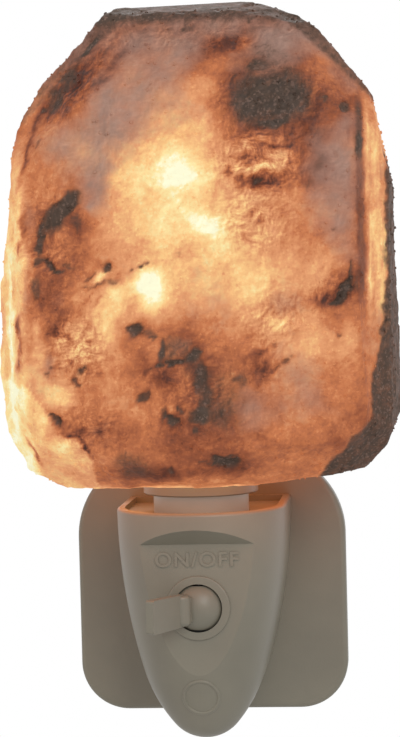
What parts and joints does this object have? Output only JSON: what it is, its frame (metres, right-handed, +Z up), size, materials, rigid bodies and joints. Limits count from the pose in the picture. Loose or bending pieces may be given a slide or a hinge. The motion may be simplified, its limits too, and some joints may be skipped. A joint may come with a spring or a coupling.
{
  "type": "plug-in night light",
  "caption": "Plug-in night light: hollow rock-salt shade on a bullet-shaped plug base with left-right toggle switch, rounded wall plate, lamp holder and bulb.",
  "frame": {"origin": "on the back face of the wall plate, midway between the two plug blades", "axes": "+Z up, +Y into the wall along the plug blades, -Y towards the viewer"},
  "size_m": [0.0902, 0.0775, 0.1692],
  "materials": {
    "salt": "rough broken rock salt, glowing orange from within, with grey dusty and dark mineral patches",
    "moulding": "fine matt moulded plastic",
    "insulator": "dark moulded phenolic",
    "brass": "bright stamped",
    "plated_brass": "nickel plated, brushed along its length",
    "bulb_glass": "clear",
    "stem_glass": "clear pressed glass",
    "filament": "glowing tungsten",
    "black_glass": "glossy",
    "solder": "dull",
    "steel": "zinc plated",
    "fibre": "vulcanised fibre",
    "black_wire": "matt",
    "white_wire": "matt"
  },
  "bodies": {
    "base": {"front_housing": "moulding", "wall_plate": "moulding", "lamp_holder_sleeve": "moulding", "socket_insulator": "insulator", "socket_screw_shell": "brass", "socket_centre_contact": "brass", "socket_rivets": "brass", "switch_bezel": "moulding", "switch_pivot_pin": "steel", "switch_body": "insulator", "switch_contact": "brass", "switch_common": "brass", "live_blade": "plated_brass", "neutral_blade": "plated_brass", "blade_clamp": "fibre", "cover_screws": "steel", "lead_live": "black_wire", "lead_switched": "black_wire", "lead_neutral": "white_wire"},
    "toggle": {"switch_lever": "moulding", "switch_wiper": "brass"},
    "crystal": {"salt_crystal": "salt", "crystal_collar": "moulding"},
    "bulb": {"bulb_glass": "bulb_glass", "bulb_stem": "stem_glass", "bulb_filament": "filament", "bulb_cap": "brass", "bulb_cap_insulator": "black_glass", "bulb_tip_contact": "solder"}
  },
  "joints": [
    {"name": "toggle_pivot", "type": "hinge", "parent": "base", "child": "toggle", "pos_m": [0, -0.0378, -0.0017], "axis": [0, 0, 1], "range_deg": [0, 56]},
    {"name": "crystal_lift", "type": "slide", "parent": "base", "child": "crystal", "axis": [0, 0, 1], "range_m": [0, 0.06]},
    {"name": "bulb_unscrew", "type": "slide", "parent": "base", "child": "bulb", "axis": [0, 0, 1], "range_m": [0, 0.016]}
  ]
}
